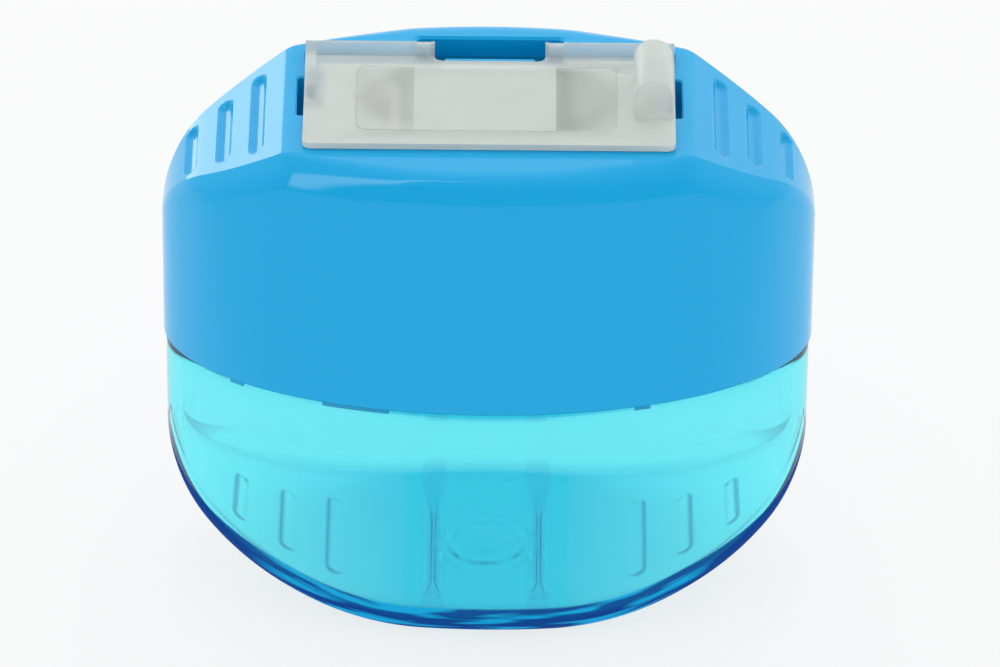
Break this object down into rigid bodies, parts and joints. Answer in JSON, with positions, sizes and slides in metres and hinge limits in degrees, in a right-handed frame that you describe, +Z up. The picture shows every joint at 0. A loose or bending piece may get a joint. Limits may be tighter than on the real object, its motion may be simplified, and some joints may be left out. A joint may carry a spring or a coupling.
{
  "type": "pencil sharpener",
  "caption": "Oval hand-held container pencil sharpener with a standard and a jumbo hole, left-handed blades, a hinged milky flap lid and a clear lift-off shavings container.",
  "frame": {"origin": "middle of the footprint, at the foot rails' underside", "axes": "+Z up along the pencil holes, -Y towards the front wall, +X towards the thumb ridge of the lid"},
  "size_m": [0.065, 0.0314, 0.0606],
  "materials": {
    "container_cyan": "clear tinted polystyrene, polished mould",
    "shell_blue": "opaque gloss",
    "lid_milky": "translucent natural polypropylene",
    "holder_white": "satin",
    "block_metal": "milled die-cast magnesium alloy",
    "blade_steel": "ground",
    "screw_nickel": "nickel-plated"
  },
  "bodies": {
    "container": {"shavings_container": "container_cyan"},
    "head": {"upper_shell": "shell_blue", "block_holder": "holder_white", "twin_hole_block": "block_metal", "standard_blade": "blade_steel", "jumbo_blade": "blade_steel", "standard_blade_screw": "screw_nickel", "jumbo_blade_screw": "screw_nickel"},
    "lid": {"flap_lid": "lid_milky"}
  },
  "joints": [
    {"name": "head_lift", "type": "slide", "parent": "container", "child": "head", "axis": [0, 0, 1], "range_m": [0, 0.03]},
    {"name": "lid_hinge", "type": "hinge", "parent": "head", "child": "lid", "pos_m": [0, 0.00775, 0.05585], "axis": [-1, 0, 0], "range_deg": [0, 110]}
  ]
}
